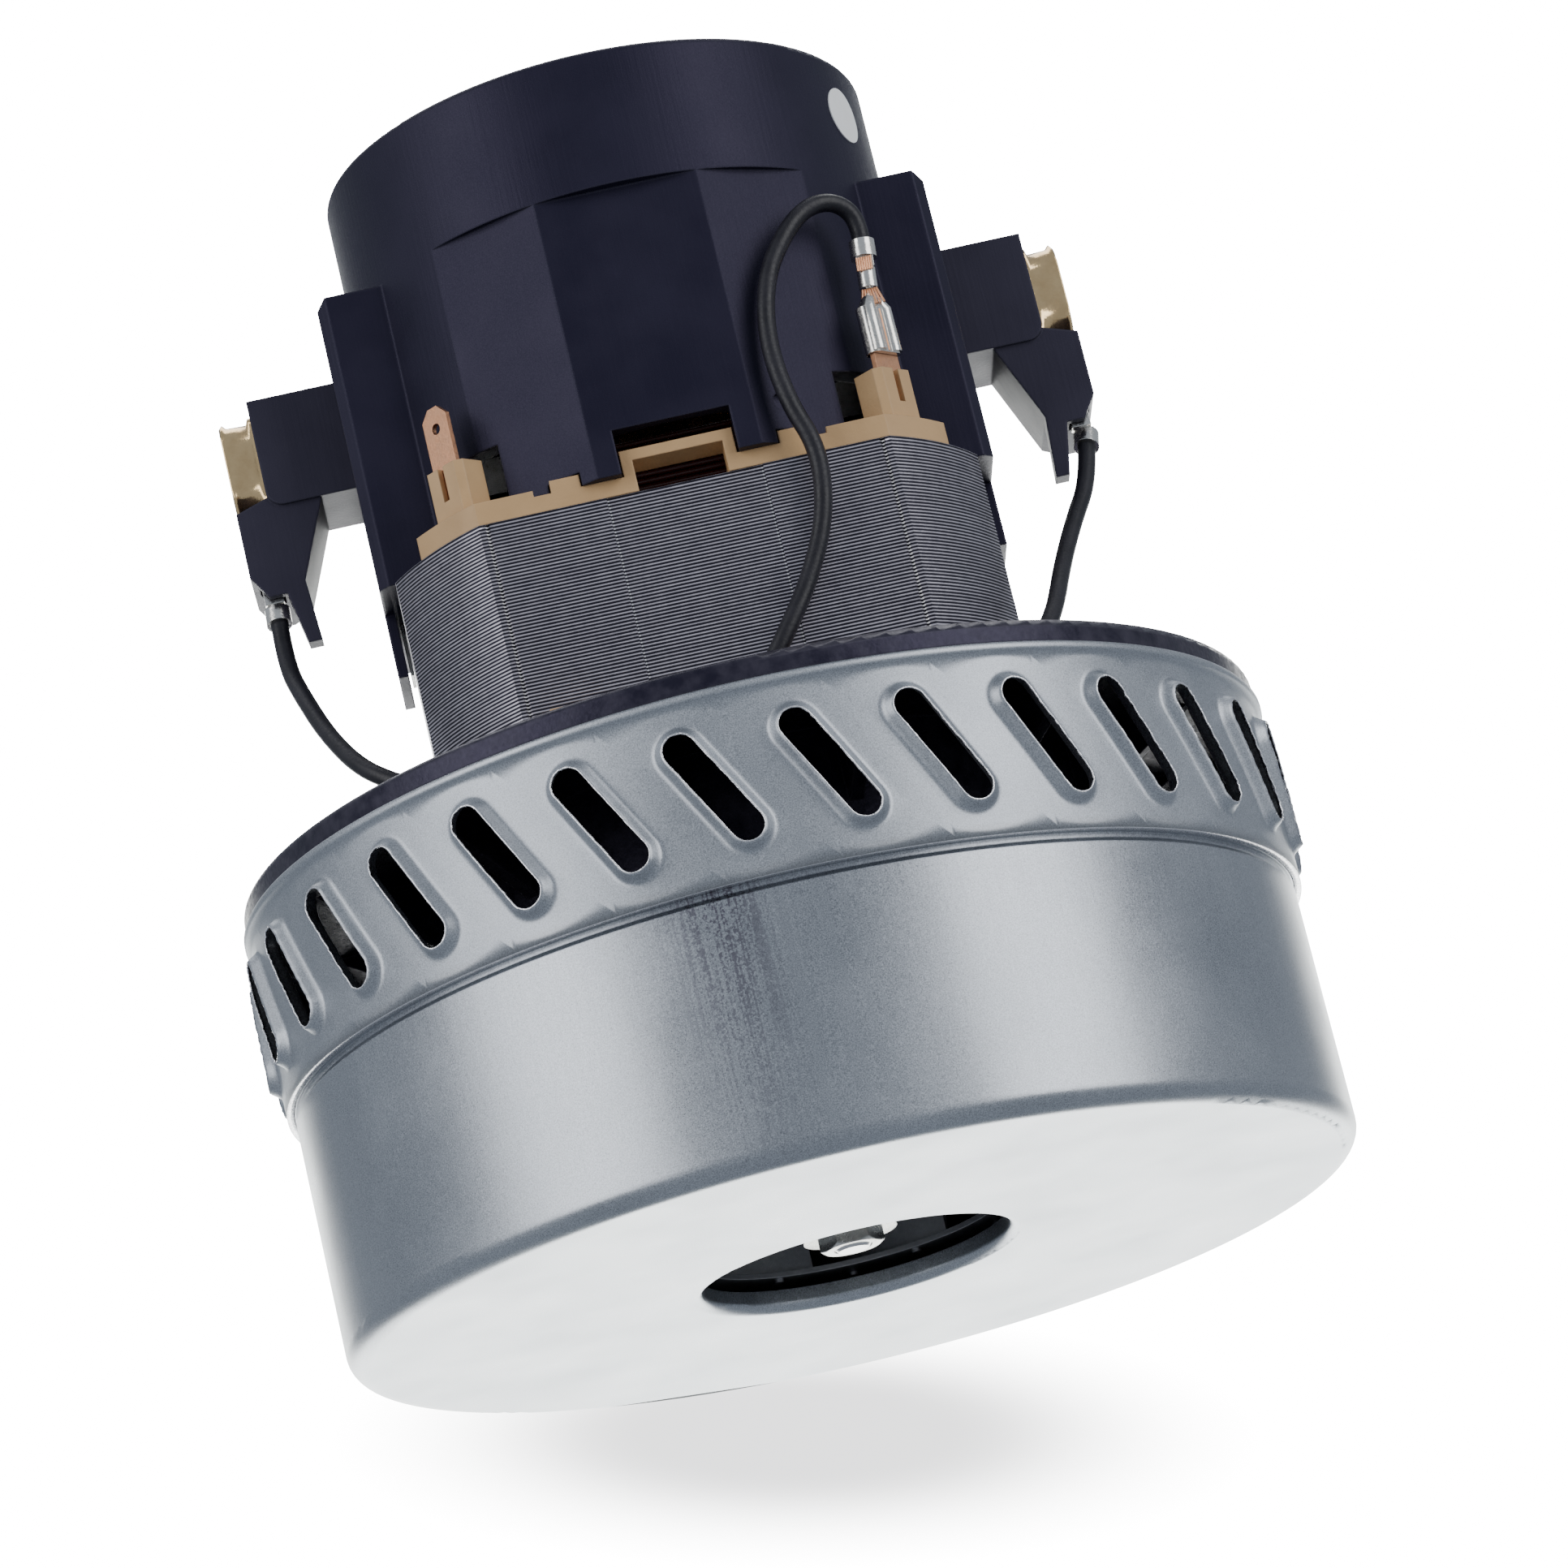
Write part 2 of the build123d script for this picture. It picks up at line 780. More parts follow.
interstage_radius = shell_inner - interstage_fit
with BuildPart() as interstage_plate:
    with BuildSketch(Plane.XY.offset(guide_top)):
        Circle(interstage_radius)
        Circle(interstage_eye_radius, mode=Mode.SUBTRACT)
    extrude(amount=interstage_wall)
    with BuildSketch(Plane.XY.offset(guide_top)):
        Circle(interstage_radius)
        Circle(interstage_radius - interstage_wall, mode=Mode.SUBTRACT)
    extrude(amount=-interstage_rim)
keep(interstage_plate, "interstage_plate")


# Shaft, spacers, washer and nut
with BuildPart() as rotor_shaft:
    with BuildSketch(Plane.XY.offset(thread_top)):
        Circle(shaft_radius)
    extrude(amount=shaft_top - thread_top)
    chamfer(rotor_shaft.edges().group_by(Axis.Z)[-1], shaft_chamfer)
    with BuildSketch(Plane.XY.offset(shaft_end_height)):
        Circle(thread_radius)
    extrude(amount=thread_top - shaft_end_height)
    chamfer(rotor_shaft.edges().group_by(Axis.Z)[0], thread_chamfer)
keep(rotor_shaft, "rotor_shaft")

spacer_levels = [
    (washer_top, first_stage_top - back_disc_wall),
    (first_stage_top, second_stage_top - back_disc_wall),
    (second_stage_top, seat_floor),
]
with BuildPart() as hub_spacers:
    for spacer_bottom, spacer_top in spacer_levels:
        with BuildSketch(Plane.XY.offset(spacer_bottom)):
            Circle(spacer_radius)
            Circle(bore_in_hub, mode=Mode.SUBTRACT)
        extrude(amount=spacer_top - spacer_bottom)
keep(hub_spacers, "hub_spacers")

hub_washer = tube_between(washer_radius, thread_radius + shaft_fit, washer_bottom, washer_top)
keep(hub_washer, "hub_washer")

with BuildPart() as hub_nut:
    with BuildSketch(Plane.XY.offset(nut_bottom)):
        RegularPolygon(nut_flats / 2, nut_sides, major_radius=False)
    extrude(amount=nut_height)
    with BuildSketch(Plane.XY.offset(nut_bottom)):
        Circle(nut_flats / 2)
    extrude(amount=nut_height, taper=nut_corner_angle - quarter_turn, mode=Mode.INTERSECT)
    with BuildSketch(Plane.XY.offset(nut_bottom)):
        Circle(thread_radius + shaft_fit)
    extrude(amount=nut_height, mode=Mode.SUBTRACT)
keep(hub_nut, "hub_nut")


# Stator laminations
def core_outline():
    """The lamination's outline in the open sketch: a square-cut circle with shallow grooves."""
    Circle(core_corner_radius)
    Rectangle(core_width, core_depth, mode=Mode.INTERSECT)


ends = (-core_depth / 2, core_depth / 2)
groove_places = [(x, y) for x in (-edge_groove_place, edge_groove_place) for y in ends]
with BuildPart() as stator_core:
    with BuildSketch(Plane.XY.offset(stack_bottom)):
        core_outline()
        with Locations(*[(0, y) for y in ends]):
            Rectangle(facet_half_width * 2, facet_recess * 2, mode=Mode.SUBTRACT)
        with Locations(*groove_places):
            Rectangle(edge_groove, edge_groove, rotation=quarter_turn / 2, mode=Mode.SUBTRACT)
        with Locations(*screw_places):
            Circle(screw_radius + screw_fit, mode=Mode.SUBTRACT)
    extrude(amount=stack_height)
    with BuildSketch(Plane.XY.offset(stack_bottom)):
        RectangleRounded(window_half_width * 2, window_half_depth * 2, window_corner)
        Rectangle(pole_half_width * 2, window_half_depth * 2, mode=Mode.SUBTRACT)
        shoe_reach = math.radians(pole_shoe_angle)
        for sign in (-1, 1):
            with BuildLine():
                low_right = (shoe_radius * math.sin(shoe_reach), sign * shoe_radius * math.cos(shoe_reach))
                low_left = (-low_right[0], low_right[1])
                ThreePointArc(low_left, (0, sign * shoe_radius), low_right)
                Line(low_right, (0, 0))
                Line((0, 0), low_left)
            make_face(mode=Mode.SUBTRACT)
        Circle(bore_radius)
    extrude(amount=stack_height, mode=Mode.SUBTRACT)
keep(stator_core, "stator_core")


# Coil formers, upper and lower, front and rear
def end_plate_outline(sign):
    """The end plate of a former in the open sketch: the part of the outline outside the coil."""
    core_outline()
    with Locations((0, sign * (former_limit + core_depth / 2))):
        Rectangle(core_width, core_depth, mode=Mode.INTERSECT)


def add_saddle(sign, face, up):
    """The part of a former that lies on the end of the pole, its corners cut for the coil's bends."""
    section_plane = Plane(origin=(0, sign * saddle_start, face), x_dir=(1, 0, 0), z_dir=(0, -up, 0))
    with BuildSketch(section_plane) as section:
        with BuildLine():
            Polyline(
                (-liner_outer, 0),
                (-liner_outer, former_wall - saddle_chamfer),
                (saddle_chamfer - liner_outer, former_wall),
                (liner_outer - saddle_chamfer, former_wall),
                (liner_outer, former_wall - saddle_chamfer),
                (liner_outer, 0),
                close=True,
            )
        make_face()
    extrude(section.sketch, amount=-sign * up * (former_limit - saddle_start))


def liner_outline(sign):
    """The two thin walls of a former that keep the coil off the sides of the pole."""
    liner_middle = liner_outer - liner_wall / 2
    liner_length = window_half_depth - former_fit - saddle_start
    depth = sign * (saddle_start + liner_length / 2)
    with Locations((-liner_middle, depth), (liner_middle, depth)):
        Rectangle(liner_wall, liner_length)


def make_upper_former(place, sign):
    """The upper former of one pole, with its bands, lugs, open bracket and terminal posts."""
    front = sign * core_depth / 2
    with BuildPart() as former:
        with BuildSketch(Plane.XY.offset(stack_top)):
            end_plate_outline(sign)
        extrude(amount=former_wall)
        add_saddle(sign, stack_top, 1)
        with BuildSketch(Plane.XY.offset(stack_top)):
            liner_outline(sign)
        extrude(amount=-stack_height / 2)
        with BuildSketch(Plane.XY.offset(stack_top)):
            end_plate_outline(sign)
            Circle(band_inner_radius, mode=Mode.SUBTRACT)
            Rectangle(band_start * 2, core_depth, mode=Mode.SUBTRACT)
        extrude(amount=band_wall)
        lug_line = front - sign * lug_depth / 2
        with BuildSketch(Plane.XY.offset(stack_top)):
            with Locations((-lug_middle, lug_line), (lug_middle, lug_line)):
                Rectangle(lug_outer - lug_inner, lug_depth)
        extrude(amount=lug_height)
        with BuildSketch(Plane.XY.offset(stack_top)):
            with Locations((0, front - sign * bracket_depth / 2)):
                Rectangle(bracket_half_width * 2, bracket_depth)
        extrude(amount=bracket_height)
        with BuildSketch(Plane.XY.offset(stack_top)):
            with Locations((0, sign * (former_limit + core_depth / 2))):
                Rectangle((bracket_half_width - bracket_wall) * 2, core_depth)
        extrude(amount=bracket_height - bracket_wall, mode=Mode.SUBTRACT)
        for turn in (-post_angle, post_angle):
            foot = radial_plane(turn if sign < 0 else half_turn + turn, post_radius, stack_top)
            post_sketch_plane = Plane(origin=foot.origin, x_dir=foot.x_dir, z_dir=(0, 0, 1))
            with BuildSketch(post_sketch_plane) as post_sketch:
                Rectangle(post_width, post_depth)
                chamfer(post_sketch.vertices().group_by(Axis.Y)[0], post_chamfer)
            extrude(amount=post_height)
            with BuildSketch(post_sketch_plane.offset(post_height)):
                with Locations((0, -tab_outset)):
                    Rectangle(post_slit_width, post_depth)
                    Rectangle(tab_width, tab_wall + former_fit)
            extrude(amount=-post_slit_depth, mode=Mode.SUBTRACT)
    keep(former, f"{place}_upper_former")


make_upper_former("front", -1)
make_upper_former("rear", 1)


def make_lower_former(place, sign, lug_faces):
    """The lower former of one pole, with a slotted lug under it for each lower terminal tab."""
    with BuildPart() as former:
        with BuildSketch(Plane.XY.offset(former_bottom)):
            end_plate_outline(sign)
            for face, outward in lug_faces:
                with Locations((face.X - outward * lower_lug_depth / 2, face.Y)):
                    Rectangle(lower_lug_ear, lower_lug_width)
        extrude(amount=former_wall)
        add_saddle(sign, stack_bottom, -1)
        with BuildSketch(Plane.XY.offset(stack_bottom)):
            liner_outline(sign)
        extrude(amount=stack_height / 2)
        for face, outward in lug_faces:
            with BuildSketch(Plane.XY.offset(former_bottom)):
                with Locations((face.X - outward * lower_lug_depth / 2, face.Y)):
                    Rectangle(lower_lug_depth, lower_lug_width)
            extrude(amount=-lower_lug_drop)
            with BuildSketch(Plane.XY.offset(face.Z - tab_wall / 2)):
                with Locations((face.X - outward * lower_lug_depth / 2, face.Y)):
                    Rectangle(lower_lug_depth, tab_width)
            extrude(amount=tab_wall, mode=Mode.SUBTRACT)
    keep(former, f"{place}_lower_former")


lower_ends = [(left_lead_route[-1], -1), (right_lead_route[-1], 1), (front_lead_route[-1], 1)]
lower_stack = lower_tab_length + neck_length + grip_length
lower_lug_faces = [(Vector(*end) - Vector(outward * lower_stack), outward) for end, outward in lower_ends]
make_lower_former("front", -1, lower_lug_faces)
make_lower_former("rear", 1, [])


# Field coils
def rounded_path(route, radii):
    """Straight runs through the route's points, joined by an arc of the given radius at each."""
    with BuildLine() as path:
        FilletPolyline(*route, radius=radii)
    return path


def sweep_tube(route, radii, radius):
    """A round tube along a rounded path."""
    path = rounded_path(route, radii)
    wire = path.wires()[0]
    with BuildPart() as tube:
        with BuildSketch(Plane(origin=wire @ 0, z_dir=wire % 0)):
            Circle(radius)
        sweep(path=wire)
    return tube, wire.length


def coil_route():
    """Corners of the wound wire: flat spirals out, in and out again, one behind the other."""
    middle = stack_bottom + stack_height / 2
    points = []
    foot = coil_rise - coil_bend_radius
    for column in range(coil_columns):
        depth = column * wire_pitch - coil_outer_depth
        outwards = column % 2 == 0
        for step in range(coil_layers):
            layer = step if outwards else coil_layers - 1 - step
            half_width = coil_inner_half_width + layer * wire_pitch
            rise = coil_rise + layer * wire_pitch
            points.append((-half_width, depth, middle - foot))
            points.append((-half_width, depth, middle + rise))
            points.append((half_width, depth, middle + rise))
            foot = rise + wire_pitch if outwards else rise
            points.append((half_width, depth, middle - foot))
    return points


def least_gap(path):
    """The least clear space between two stretches of the wire, from points spaced along it."""
    wire = path.wires()[0]
    count = math.ceil(wire.length / coil_point_spacing)
    apart = math.ceil(coil_near_stretch / coil_point_spacing)
    spots = [tuple(wire @ (n / count)) for n in range(count + 1)]
    middle_distance = min(math.dist(a, b) for n, a in enumerate(spots) for b in spots[n + apart :])
    return middle_distance - wire_radius * 2


coil, coil_length = sweep_tube(coil_route(), coil_bend_radius, wire_radius)
tube_volume = math.pi * wire_radius**2 * coil_length
print("field coil length", round(coil_length, 1), "loops", coil_columns * coil_layers)
print("field coil volume over section times length", round(coil.part.volume / tube_volume, 5))
print("field coil least gap to itself", round(least_gap(rounded_path(coil_route(), coil_bend_radius)), 3))
keep(coil, "front_field_coil")

with BuildPart() as rear_coil:
    add(coil.part.rotate(Axis.Z, half_turn))
print("rear coil volume over front coil volume", round(rear_coil.part.volume / coil.part.volume, 5))
keep(rear_coil, "rear_field_coil")


# Upper housing
facets = [
    (0, front_facet_distance),
    (-side_facet_angle, side_facet_distance),
    (side_facet_angle, side_facet_distance),
]
with BuildPart() as upper_housing:
    with BuildSketch(Plane.XY.offset(stack_top)):
        Circle(housing_radius)
    extrude(amount=housing_top - stack_top)
    fillet(upper_housing.edges().group_by(Axis.Z)[-1], housing_top_round)
    for base in (0, half_turn):
        for turn, distance in facets:
            with BuildSketch(radial_plane(base + turn, distance, stack_top)):
                Rectangle(housing_radius, facet_top - stack_top, align=(Align.CENTER, Align.MIN))
            extrude(amount=overrun, mode=Mode.SUBTRACT)
    tower_middle = (tower_inner + tower_outer) / 2
    with BuildSketch(Plane.XY.offset(stack_top)) as tower_sketch:
        with Locations((-tower_middle, 0), (tower_middle, 0)):
            Rectangle(tower_outer - tower_inner, tower_half_depth * 2)
        outer_points = tower_sketch.vertices().group_by(Axis.X)
        chamfer(outer_points[0] + outer_points[-1], tower_chamfer)
    extrude(amount=tower_top - stack_top)
    top_edges = upper_housing.edges().filter_by(Axis.Y).group_by(Axis.X)
    outer_top_edges = [group.sort_by(Axis.Z)[-1] for group in (top_edges[0], top_edges[-1])]
    chamfer(outer_top_edges, tower_chamfer)
    finger_middle = (finger_inner + tower_outer) / 2
    with BuildSketch(Plane.XY.offset(stack_top)):
        with Locations((-finger_middle, 0), (finger_middle, 0)):
            Rectangle(tower_outer - finger_inner, finger_half_width * 2)
    extrude(amount=-finger_drop)
    with BuildSketch(Plane.XY.offset(stack_top)):
        Circle(housing_inner)
    extrude(amount=spider_bottom - stack_top, mode=Mode.SUBTRACT)
    with BuildSketch(Plane.XY.offset(spider_top)):
        Circle(fan_chamber_radius)
    extrude(amount=housing_top - spider_top, mode=Mode.SUBTRACT)
    with BuildSketch(Plane.XY.offset(grille_bottom)):
        Circle(grille_seat_radius)
    extrude(amount=grille_wall, mode=Mode.SUBTRACT)
    with BuildSketch(Plane.XY.offset(spider_bottom)):
        for n in range(spider_slot_count):
            start = n * full_turn / spider_slot_count - spider_slot_arc / 2
            arc = CenterArc((0, 0), spider_slot_radius, start, spider_slot_arc, mode=Mode.PRIVATE)
            SlotArc(arc, spider_slot_width)
    extrude(amount=spider_wall, mode=Mode.SUBTRACT)
    with BuildSketch(Plane.XY.offset(spider_bottom)):
        Circle(cushion_seat_radius + seat_wall)
    extrude(amount=upper_seat_floor + bearing_width - spider_bottom)
    with BuildSketch(Plane.XY.offset(spider_bottom)):
        Circle(shaft_hole_radius)
    extrude(amount=upper_seat_floor - spider_bottom, mode=Mode.SUBTRACT)
    with BuildSketch(Plane.XY.offset(upper_seat_floor)):
        Circle(cushion_seat_radius)
    extrude(amount=bearing_width, mode=Mode.SUBTRACT)
    for sign in (-1, 1):
        wall_reach = housing_radius + overrun
        former_edge = former_limit - former_fit
        cut_depth = wall_reach - former_edge
        cut_line = sign * (former_edge + wall_reach) / 2
        with BuildSketch(Plane.XY.offset(stack_top)):
            with Locations((0, cut_line)):
                Rectangle(wall_reach * 2, cut_depth)
        extrude(amount=former_wall, mode=Mode.SUBTRACT)
        with BuildSketch(Plane.XY.offset(stack_top)):
            with Locations((0, cut_line)):
                Rectangle(coil_window_half_width * 2, cut_depth)
        extrude(amount=coil_window_height, mode=Mode.SUBTRACT)
        with BuildSketch(Plane.XY.offset(stack_top)):
            with Locations((-lug_middle, cut_line), (lug_middle, cut_line)):
                Rectangle(lug_outer - lug_inner + former_fit * 2, cut_depth)
        extrude(amount=lug_height + former_fit, mode=Mode.SUBTRACT)
        for turn in (-post_angle, post_angle):
            azimuth = turn if sign < 0 else half_turn + turn
            with BuildSketch(radial_plane(azimuth, wall_reach, stack_top)):
                Rectangle(notch_width, notch_height, align=(Align.CENTER, Align.MIN))
            extrude(amount=-(housing_wall + overrun * 2), mode=Mode.SUBTRACT)
    with BuildSketch(radial_plane(dimple_angle, housing_radius, stack_top + dimple_height)):
        Circle(dimple_radius)
    extrude(amount=-(housing_radius - side_facet_distance + dimple_depth), mode=Mode.SUBTRACT)
    with BuildSketch(Plane.YZ):
        with Locations((0, brush_line)):
            Rectangle(holder_width + holder_fit * 2, holder_height + holder_fit * 2)
    extrude(amount=tower_outer + overrun, both=True, mode=Mode.SUBTRACT)
    with BuildSketch(Plane.XY.offset(stack_top)):
        with Locations(*screw_places):
            Circle(screw_radius + screw_fit)
    extrude(amount=screw_seat_wall, mode=Mode.SUBTRACT)
    with BuildSketch(Plane.XY.offset(screw_seat)):
        with Locations(*screw_places):
            Circle(screw_head_radius + screw_well_clearance)
    extrude(amount=tower_top - screw_seat, mode=Mode.SUBTRACT)
keep(upper_housing, "upper_housing")


# Long screws
screw_tip = stack_bottom - screw_grip
with BuildPart() as stator_screws:
    with BuildSketch(Plane.XY.offset(screw_tip)):
        with Locations(*screw_places):
            Circle(screw_radius)
    extrude(amount=screw_seat - screw_tip)
    with BuildSketch(Plane.XY.offset(screw_seat)):
        with Locations(*screw_places):
            Circle(screw_head_radius)
    extrude(amount=screw_head_height)
    with BuildSketch(Plane.XY.offset(screw_seat + screw_head_height)):
        with Locations(*screw_places):
            Rectangle(screw_head_radius, screw_cross_width)
            Rectangle(screw_cross_width, screw_head_radius)
    extrude(amount=-screw_cross_depth, mode=Mode.SUBTRACT)
keep(stator_screws, "stator_screws")


# Steel clips between the housing fingers and the stator
clip_middle = core_width / 2 + clip_gap + clip_wall / 2
with BuildPart() as side_clips:
    with BuildSketch(Plane.XY.offset(stack_top - clip_drop)):
        with Locations((-clip_middle, 0), (clip_middle, 0)):
            Rectangle(clip_wall, clip_half_width * 2)
    extrude(amount=clip_drop)
keep(side_clips, "side_clips")


# Terminal tabs
def tab_outline(length):
    """A pointed tab in the open sketch, standing on the origin."""
    half = tab_width / 2
    with BuildLine() as outline:
        Polyline(
            (-half, -tab_root),
            (-half, length - tab_point),
            (-half + tab_point, length),
            (half - tab_point, length),
            (half, length - tab_point),
            (half, -tab_root),
            close=True,
        )
    make_face(outline.edges())
    with Locations((0, length - tab_hole_drop)):
        Circle(tab_hole_radius, mode=Mode.SUBTRACT)


def upper_tab_plane(azimuth):
    """The middle plane of an upper tab, standing in the slit of its post."""
    return radial_plane(azimuth, post_radius + tab_outset, stack_top + post_height)


with BuildPart() as supply_tabs:
    for azimuth in (-post_angle, half_turn - post_angle):
        with BuildSketch(upper_tab_plane(azimuth)):
            tab_outline(tab_height)
        extrude(amount=tab_wall / 2, both=True)
keep(supply_tabs, "supply_tabs")

with BuildPart() as lead_tab:
    with BuildSketch(upper_tab_plane(post_angle)):
        tab_outline(tab_height)
    extrude(amount=tab_wall / 2, both=True)
keep(lead_tab, "lead_tab")


with BuildPart() as lower_tabs:
    for face, outward in lower_lug_faces:
        with BuildSketch(Plane.XY.offset(face.Z - tab_wall / 2)):
            with Locations((face.X + outward * (lower_tab_length - lower_lug_depth) / 2, face.Y)):
                Rectangle(lower_tab_length + lower_lug_depth, tab_width)
        extrude(amount=tab_wall)
keep(lower_tabs, "lower_tabs")


# Receptacles
def receptacle_body(plane):
    """A push-on sleeve that wraps a tab, standing on the plane, in the open part."""
    with BuildSketch(plane) as section:
        RectangleRounded(receptacle_width, receptacle_depth, (receptacle_depth - receptacle_wall) / 2)
        Rectangle(tab_width + former_fit, tab_wall + former_fit, mode=Mode.SUBTRACT)
    extrude(section.sketch, amount=receptacle_length)


def grip_plane(route, end):
    """The end face of a lead, looking away from the lead."""
    last, before = (route[-1], route[-2]) if end == "lower" else (route[0], route[1])
    return Plane(origin=last, z_dir=(Vector(*last) - Vector(*before)).normalized())


def crimped_grip(route, end, neck):
    """The crimp round a lead's insulation and the neck behind it, in the open part."""
    spot = grip_plane(route, end)
    with BuildSketch(spot) as section:
        Circle(grip_radius)
    extrude(section.sketch, amount=grip_length)
    with BuildSketch(spot.offset(grip_length)) as section:
        Rectangle(neck_width, neck_width)
    extrude(section.sketch, amount=neck)


upper_tab_spot = upper_tab_plane(post_angle)
sleeve_plane = Plane(
    origin=upper_tab_spot.origin + Vector(0, 0, receptacle_lift), x_dir=upper_tab_spot.x_dir, z_dir=(0, 0, 1)
)
crimp_face = grip_plane(front_lead_route, "upper").offset(grip_length + crimp_gap)
with BuildPart() as lead_receptacle:
    receptacle_body(sleeve_plane)
    crimped_grip(front_lead_route, "upper", crimp_gap)
    with BuildSketch(crimp_face):
        Circle(crimp_radius)
    extrude(amount=crimp_length)
    with BuildSketch(crimp_face.offset(crimp_length)):
        Circle(neck_depth / 2)
    with BuildSketch(sleeve_plane.offset(receptacle_length)):
        Rectangle(shoulder_width, shoulder_depth)
    loft()
keep(lead_receptacle, "lead_receptacle")

lower_routes = (left_lead_route, right_lead_route, front_lead_route)
with BuildPart() as lower_receptacles:
    for (face, outward), route in zip(lower_lug_faces, lower_routes):
        sleeve_start = face + Vector(outward * (lower_tab_length - receptacle_length))
        receptacle_body(Plane(origin=sleeve_start, x_dir=(0, 1, 0), z_dir=(outward, 0, 0)))
        crimped_grip(route, "lower", neck_length)
keep(lower_receptacles, "lower_receptacles")


# Leads
def corner_radii(route):
    """The largest bend radius that the two runs at each corner of a route leave room for."""
    points = [Vector(*p) for p in route]
    radii = []
    for before, corner, after in zip(points, points[1:], points[2:]):
        arriving, leaving = corner - before, after - corner
        half_turn = math.radians(arriving.get_angle(leaving)) / 2
        radii.append(lead_bend_share * min(arriving.length, leaving.length) / math.tan(half_turn))
    return radii


for label, route in (
    ("front_lead", front_lead_route),
    ("left_brush_lead", left_lead_route),
    ("right_brush_lead", right_lead_route),
):
    radii = corner_radii(route)
    lead, length = sweep_tube(route, radii, lead_radius)
    section = math.pi * lead_radius**2
    print(label, "radii", [round(r, 1) for r in radii], "length", round(length, 2))
    print(label, "volume over section times length", round(lead.part.volume / (section * length), 5))
    keep(lead, label)


# Fan grille
with BuildPart() as fan_grille:
    with BuildSketch(Plane.XY.offset(grille_bottom)):
        Circle(grille_seat_radius - holder_fit)
        Circle(fan_chamber_radius - grille_ring_wall, mode=Mode.SUBTRACT)
        Circle(grille_hub_radius)
        ring_radius = grille_hub_radius + grille_ring_gap
        while ring_radius + grille_ring_wall < fan_chamber_radius - grille_ring_wall:
            with BuildSketch(mode=Mode.PRIVATE) as ring:
                Circle(ring_radius + grille_ring_wall)
                Circle(ring_radius, mode=Mode.SUBTRACT)
            add(ring.sketch)
            ring_radius += grille_ring_gap + grille_ring_wall
        with PolarLocations(0, grille_bar_count):
            Rectangle(fan_chamber_radius, grille_bar_wall, align=(Align.MIN, Align.CENTER))
    extrude(amount=grille_wall)
keep(fan_grille, "fan_grille")


# Cooling fan
with BuildPart() as cooling_fan:
    with BuildSketch(Plane.XY.offset(fan_hub_bottom)):
        Circle(fan_hub_radius)
    extrude(amount=fan_hub_height)
    blade_height = fan_hub_bottom + fan_hub_height / 2
    blade_places = [n * full_turn / fan_blade_count for n in range(fan_blade_count)]
    with BuildSketch(*[radial_plane(place, fan_hub_radius / 2, blade_height) for place in blade_places]):
        Rectangle(fan_blade_chord, fan_blade_wall, rotation=fan_blade_pitch)
    extrude(amount=fan_radius - fan_hub_radius / 2)
    with BuildSketch(Plane.XY.offset(fan_hub_bottom)):
        Circle(bore_in_hub)
    extrude(amount=fan_hub_height, mode=Mode.SUBTRACT)
keep(cooling_fan, "cooling_fan")


# Armature
with BuildPart() as armature_core:
    with BuildSketch(Plane.XY.offset(armature_bottom)):
        Circle(armature_radius)
        with PolarLocations(armature_slot_place, armature_slots):
            Circle(armature_slot_radius, mode=Mode.SUBTRACT)
            Rectangle(
                armature_radius, armature_slot_mouth, align=(Align.MIN, Align.CENTER), mode=Mode.SUBTRACT
            )
        Circle(bore_in_hub, mode=Mode.SUBTRACT)
    extrude(amount=armature_top - armature_bottom)
keep(armature_core, "armature_core")

with BuildPart() as armature_winding:
    for head_bottom in (armature_bottom - winding_head_height, armature_top):
        with BuildSketch(Plane.XY.offset(head_bottom)):
            Circle(winding_head_radius)
            Circle(winding_head_bore, mode=Mode.SUBTRACT)
        extrude(amount=winding_head_height)
    outer_edges = armature_winding.edges().filter_by(GeomType.CIRCLE).group_by(Axis.Z)
    ends = [group.sort_by(SortBy.LENGTH)[-1] for group in (outer_edges[0], outer_edges[-1])]
    fillet(ends, winding_head_round)
    with BuildSketch(Plane.XY.offset(armature_bottom)):
        with PolarLocations(armature_slot_place, armature_slots):
            Circle(armature_slot_radius - winding_fit)
    extrude(amount=armature_top - armature_bottom)
keep(armature_winding, "armature_winding")

commutator_hub = tube_between(commutator_hub_radius, bore_in_hub, commutator_bottom, commutator_top)
keep(commutator_hub, "commutator_hub")

with BuildPart() as commutator_bars:
    with BuildSketch(Plane.XY.offset(commutator_bottom)):
        Circle(commutator_radius)
        Circle(commutator_hub_radius, mode=Mode.SUBTRACT)
    extrude(amount=commutator_length)
    with BuildSketch(Plane.XY.offset(commutator_bottom)):
        Circle(commutator_radius + riser_reach)
        Circle(commutator_hub_radius, mode=Mode.SUBTRACT)
    extrude(amount=riser_height)
    with BuildSketch(Plane.XY.offset(commutator_bottom)):
        with PolarLocations(0, commutator_bars_count):
            Rectangle(
                commutator_radius + riser_reach + overrun, commutator_slit, align=(Align.MIN, Align.CENTER)
            )
    extrude(amount=commutator_length, mode=Mode.SUBTRACT)
keep(commutator_bars, "commutator_bars")


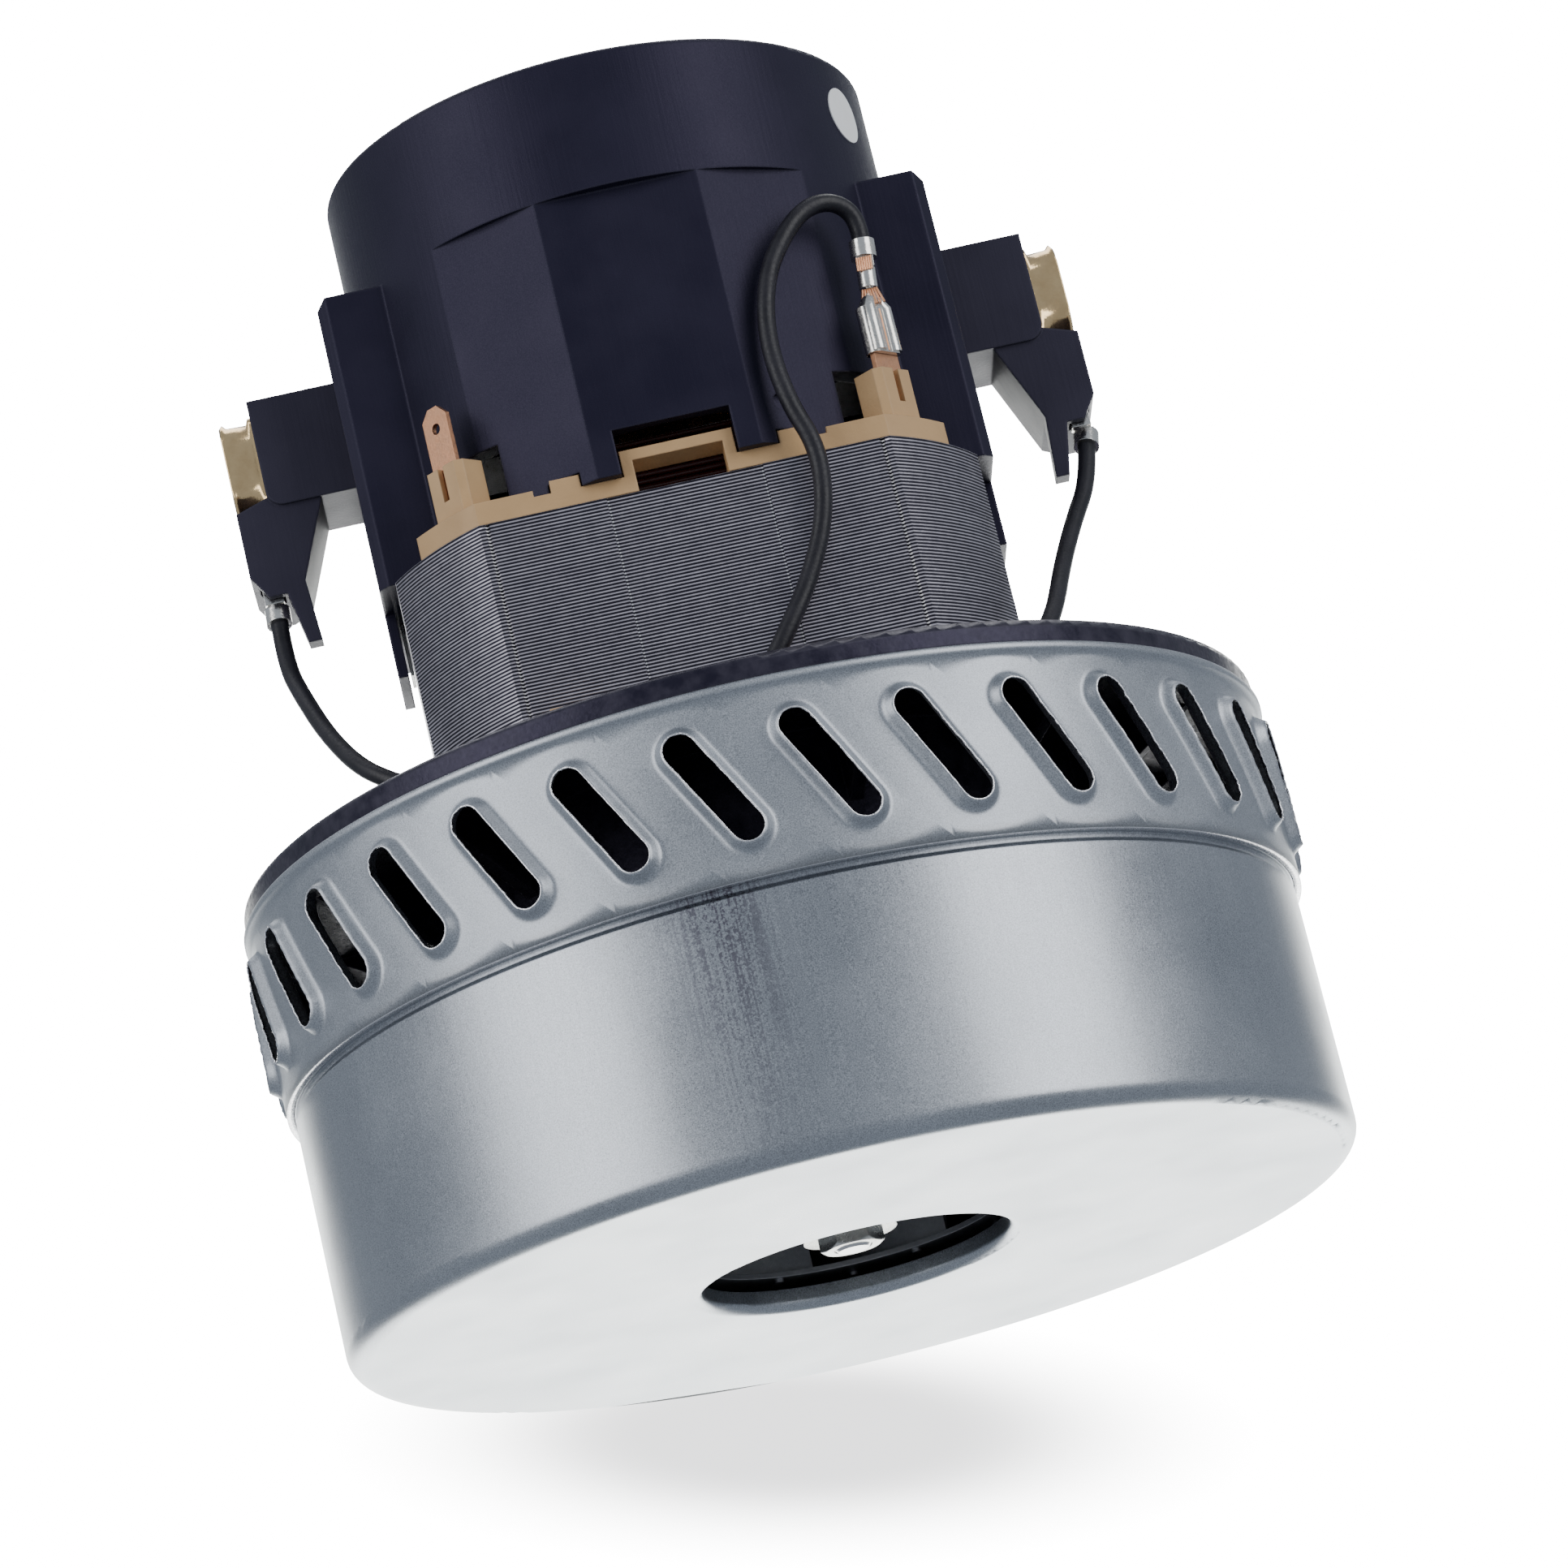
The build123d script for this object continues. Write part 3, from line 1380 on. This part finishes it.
# Brush gear, the same on both sides
def make_brush_gear(side, sign):
    """Holder, brass tube, carbon brush, spring and terminal of one side."""
    across = Plane(origin=(0, 0, brush_line), x_dir=(0, 1, 0), z_dir=(sign, 0, 0))
    upright = Plane(origin=(0, 0, 0), x_dir=(1, 0, 0), z_dir=(0, -1, 0))
    with BuildPart() as holder:
        with BuildSketch(across.offset(holder_inner)):
            Rectangle(holder_width, holder_height)
        extrude(amount=holder_outer - holder_inner)
        end_edges = holder.edges().filter_by(Axis.Y).group_by(Axis.X)
        end_group = end_edges[-1] if sign > 0 else end_edges[0]
        fillet(end_group.sort_by(Axis.Z)[0], holder_round)
        with BuildSketch(upright):
            with BuildLine():
                Polyline(
                    (sign * bracket_top_inner, holder_bottom),
                    (sign * (holder_outer - holder_round), holder_bottom + holder_round),
                    (sign * tube_outer, holder_bottom),
                    (sign * tube_outer, pocket_shoulder),
                    (sign * pocket_low_x, pocket_bottom),
                    (sign * holder_outer, pocket_bottom),
                    (sign * bracket_knee_x, bracket_knee_z),
                    close=True,
                )
            make_face()
        extrude(amount=bracket_half_depth, both=True)
        with BuildSketch(upright.offset(bracket_half_depth - prong_depth)):
            with BuildLine():
                Polyline(
                    (sign * bracket_top_inner, holder_bottom),
                    (sign * bracket_knee_x, bracket_knee_z),
                    (sign * prong_inner, prong_bottom),
                    (sign * prong_outer, prong_bottom),
                    (sign * holder_outer, pocket_bottom),
                    (sign * holder_outer, holder_bottom),
                    close=True,
                )
            make_face()
        extrude(amount=prong_depth)
        with BuildSketch(across.offset(holder_inner)):
            Rectangle(tube_width + tube_fit * 2, tube_height + tube_fit * 2)
        extrude(amount=holder_outer - holder_inner + overrun, mode=Mode.SUBTRACT)
        pocket_width = terminal_width + terminal_clearance * 2
        pocket_depth = terminal_depth + terminal_clearance * 2
        with BuildSketch(Plane.XY.offset(pocket_bottom)):
            with Locations((sign * terminal_x, terminal_y)):
                Rectangle(pocket_width, pocket_depth)
        extrude(amount=terminal_top + terminal_clearance - pocket_bottom, mode=Mode.SUBTRACT)
    keep(holder, f"{side}_brush_holder")

    flange_start = tube_outer - tube_flange_wall
    with BuildPart() as brass:
        with BuildSketch(across.offset(tube_inner)):
            Rectangle(tube_width, tube_height)
            Rectangle(tube_width - tube_wall * 2, tube_height - tube_wall * 2, mode=Mode.SUBTRACT)
        extrude(amount=tube_outer - tube_inner)
        with BuildSketch(across.offset(flange_start)):
            Rectangle(tube_flange_width, tube_height + tube_flange_rise * 2)
            Rectangle(spring_radius, spring_radius, mode=Mode.SUBTRACT)
        extrude(amount=tube_flange_wall)
    keep(brass, f"{side}_brush_tube")

    with BuildPart() as brush:
        with BuildSketch(across.offset(brush_corner)):
            Rectangle(brush_width, brush_height)
        extrude(amount=brush_back - brush_corner)
        with BuildSketch(Plane.XY.offset(brush_line - brush_height)):
            Circle(brush_face)
        extrude(amount=brush_height * 2, mode=Mode.SUBTRACT)
    keep(brush, f"{side}_carbon_brush")

    with BuildPart() as spring:
        with BuildSketch(across.offset(brush_back)):
            Circle(spring_radius)
            Circle(spring_radius - spring_wall, mode=Mode.SUBTRACT)
        extrude(amount=flange_start - brush_back)
    keep(spring, f"{side}_brush_spring")

    route = left_lead_route if sign < 0 else right_lead_route
    with BuildPart() as terminal:
        with BuildSketch(Plane.XY.offset(pocket_bottom - terminal_step)):
            with Locations((sign * terminal_x, terminal_y)):
                Rectangle(terminal_width, terminal_depth)
        extrude(amount=terminal_top - pocket_bottom + terminal_step)
        crimped_grip(route, "upper", pocket_bottom - terminal_step - terminal_end - grip_length)
    keep(terminal, f"{side}_brush_terminal")


make_brush_gear("left", -1)
make_brush_gear("right", 1)


# Blank sticker, curved to the housing
with BuildPart() as sticker:
    with BuildSketch(radial_plane(sticker_angle, housing_inner, sticker_height)):
        Circle(sticker_radius)
    extrude(amount=housing_wall + sticker_wall + overrun)
    with BuildSketch(Plane.XY.offset(sticker_height)):
        Circle(housing_radius + sticker_wall)
        Circle(housing_radius, mode=Mode.SUBTRACT)
    extrude(amount=sticker_radius + overrun, both=True, mode=Mode.INTERSECT)
keep(sticker, "blank_sticker")
